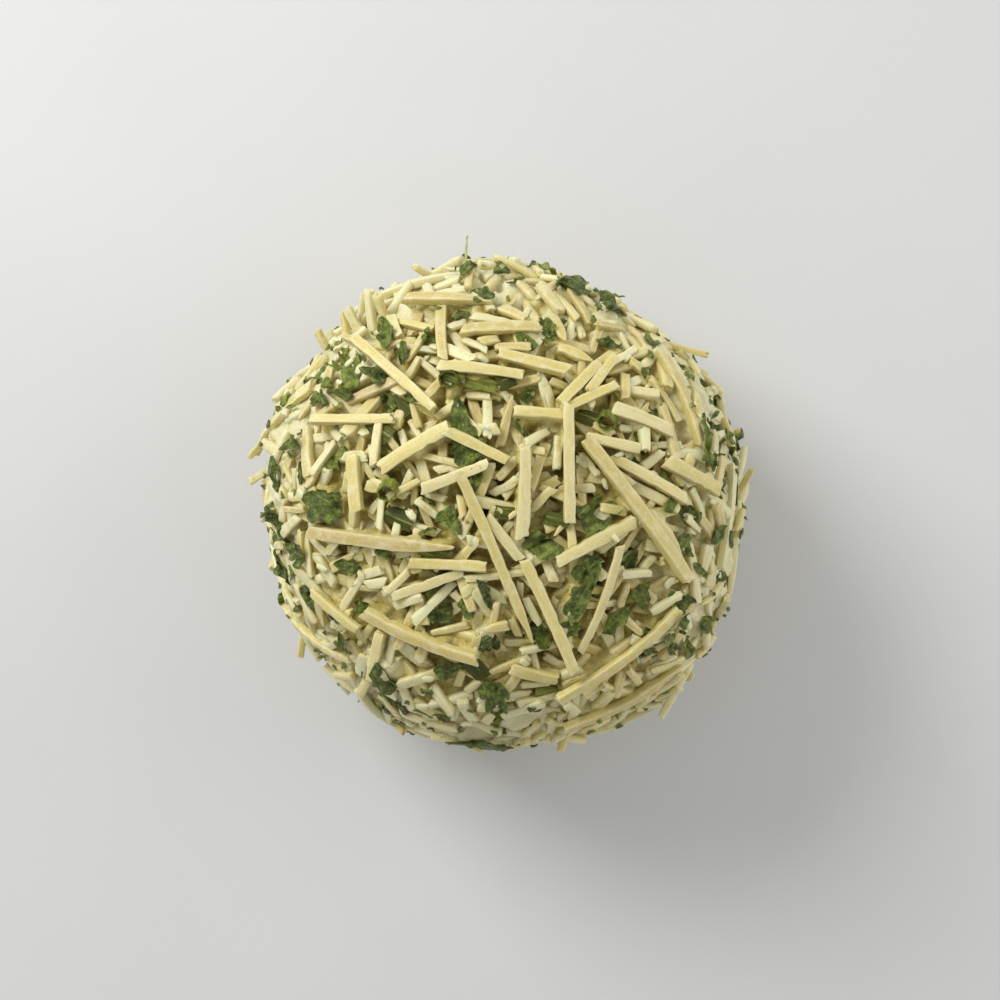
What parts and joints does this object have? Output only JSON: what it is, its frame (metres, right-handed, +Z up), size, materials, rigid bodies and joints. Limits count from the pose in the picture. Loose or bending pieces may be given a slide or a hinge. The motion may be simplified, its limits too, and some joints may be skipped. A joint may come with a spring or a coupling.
{
  "type": "cheese ball",
  "caption": "Hand-rolled ball of soft cheese coated all over in shredded hard cheese and chopped green herbs, resting on a small flat spot.",
  "frame": {"origin": "on the flat spot the ball rests on, under the middle of its box", "axes": "+Z up, the ball's shorter way; +Y the back, +X the right"},
  "size_m": [0.0932, 0.0938, 0.0696],
  "materials": {
    "coated_cheese": "soft cream cheese under short pressed-in shreds: matte, moist, cream, golden and shaded in its gaps",
    "cheese_shred": "shredded hard cheese: pale straw, waxy, fine lengthwise grain, some shreds golden or tan",
    "leaf_herb": "chopped flat parsley leaf: dark to mid green, veined, slightly shiny",
    "stem_herb": "chopped chives and stems: ribbed, light to mid green"
  },
  "bodies": {
    "root": {"cheese_ball": "coated_cheese", "crown_shred_01": "cheese_shred", "crown_shred_02": "cheese_shred", "crown_shred_03": "cheese_shred", "crown_shred_04": "cheese_shred", "crown_shred_05": "cheese_shred", "crown_shred_06": "cheese_shred", "crown_shred_07": "cheese_shred", "crown_shred_08": "cheese_shred", "crown_shred_09": "cheese_shred", "crown_shred_10": "cheese_shred", "crown_shred_11": "cheese_shred", "crown_shred_12": "cheese_shred", "crown_shred_13": "cheese_shred", "crown_shred_14": "cheese_shred", "crown_shred_15": "cheese_shred", "crown_shred_16": "cheese_shred", "crown_shred_17": "cheese_shred", "crown_shred_18": "cheese_shred", "crown_shred_19": "cheese_shred", "crown_shred_20": "cheese_shred", "crown_shred_21": "cheese_shred", "crown_shred_22": "cheese_shred", "crown_shred_23": "cheese_shred", "crown_shred_24": "cheese_shred", "crown_shred_25": "cheese_shred", "crown_shred_26": "cheese_shred", "crown_shred_27": "cheese_shred", "crown_shred_28": "cheese_shred", "crown_shred_29": "cheese_shred", "crown_shred_30": "cheese_shred", "crown_shred_31": "cheese_shred", "crown_shred_32": "cheese_shred", "crown_shred_33": "cheese_shred", "crown_shred_34": "cheese_shred", "crown_shred_35": "cheese_shred", "crown_shred_36": "cheese_shred", "crown_shred_37": "cheese_shred", "crown_shred_38": "cheese_shred", "side_shred_01": "cheese_shred", "side_shred_02": "cheese_shred", "side_shred_03": "cheese_shred", "side_shred_04": "cheese_shred", "side_shred_05": "cheese_shred", "side_shred_06": "cheese_shred", "side_shred_07": "cheese_shred", "side_shred_08": "cheese_shred", "side_shred_09": "cheese_shred", "side_shred_10": "cheese_shred", "side_shred_11": "cheese_shred", "side_shred_12": "cheese_shred", "side_shred_13": "cheese_shred", "side_shred_14": "cheese_shred", "side_shred_15": "cheese_shred", "side_shred_16": "cheese_shred", "side_shred_17": "cheese_shred", "side_shred_18": "cheese_shred", "side_shred_19": "cheese_shred", "side_shred_20": "cheese_shred"}
  },
  "joints": []
}
